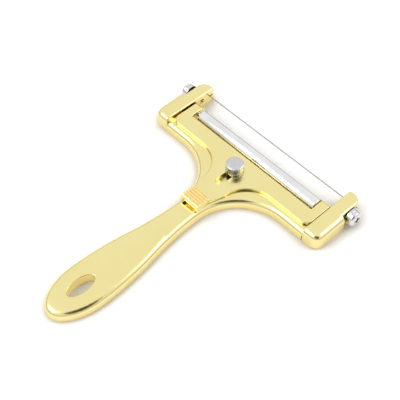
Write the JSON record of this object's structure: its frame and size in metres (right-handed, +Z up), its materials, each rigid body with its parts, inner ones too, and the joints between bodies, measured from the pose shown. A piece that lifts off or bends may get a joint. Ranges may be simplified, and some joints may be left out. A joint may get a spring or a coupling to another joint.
{
  "type": "cheese slicer",
  "caption": "Hand-held wire cheese slicer: flat waisted handle with an oval hanging hole, cheeks holding a taut wire, and a sliding gauge plate with a roller that sets the slice thickness.",
  "frame": {"origin": "middle of the overall length and width, on the flat underside", "axes": "+Y from the handle end to the cutting wire, +X to the user's right, +Z up from the flat underside"},
  "size_m": [0.1196, 0.145, 0.0125],
  "materials": {
    "gold_casting": "bright gold plating on a die casting",
    "gold_plate": "bright gold plating on a die casting",
    "roller_steel": "polished stainless tube",
    "pin_steel": "drawn steel pin",
    "bush_nylon": "natural nylon",
    "knob_steel": "turned and knurled steel",
    "washer_steel": "plain steel",
    "nut_steel": "zinc plated steel",
    "wire_steel": "hard-drawn stainless wire",
    "screw_chrome": "bright plated screw"
  },
  "bodies": {
    "casting": {"body_casting": "gold_casting", "lock_nut": "nut_steel", "cutting_wire": "wire_steel"},
    "gauge": {"gauge_plate": "gold_plate", "roller_axle": "pin_steel"},
    "roller": {"roller_tube": "roller_steel", "roller_bush_left": "bush_nylon", "roller_bush_right": "bush_nylon"},
    "lock_screw": {"lock_screw": "knob_steel", "lock_washer": "washer_steel"},
    "tension_screw_right": {"tension_screw_right": "screw_chrome", "tension_washer_right": "washer_steel"},
    "tension_screw_left": {"tension_screw_left": "screw_chrome", "tension_washer_left": "washer_steel"}
  },
  "joints": [
    {"name": "gauge_slide", "type": "slide", "parent": "casting", "child": "gauge", "axis": [0, 1, 0], "range_m": [0, 0.008]},
    {"name": "roller_spin", "type": "hinge", "parent": "gauge", "child": "roller", "pos_m": [0, 0.056, 0.0046], "axis": [1, 0, 0], "continuous": true},
    {"name": "lock_turn", "type": "hinge", "parent": "casting", "child": "lock_screw", "pos_m": [0, 0.0415, 0.009], "axis": [0, 0, 1], "range_deg": [0, 360]},
    {"name": "tension_turn_right", "type": "hinge", "parent": "casting", "child": "tension_screw_right", "pos_m": [0.057, 0.0636, 0.0045], "axis": [1, 0, 0], "range_deg": [0, 360]},
    {"name": "tension_turn_left", "type": "hinge", "parent": "casting", "child": "tension_screw_left", "pos_m": [-0.057, 0.0636, 0.0045], "axis": [-1, 0, 0], "range_deg": [0, 360]}
  ]
}
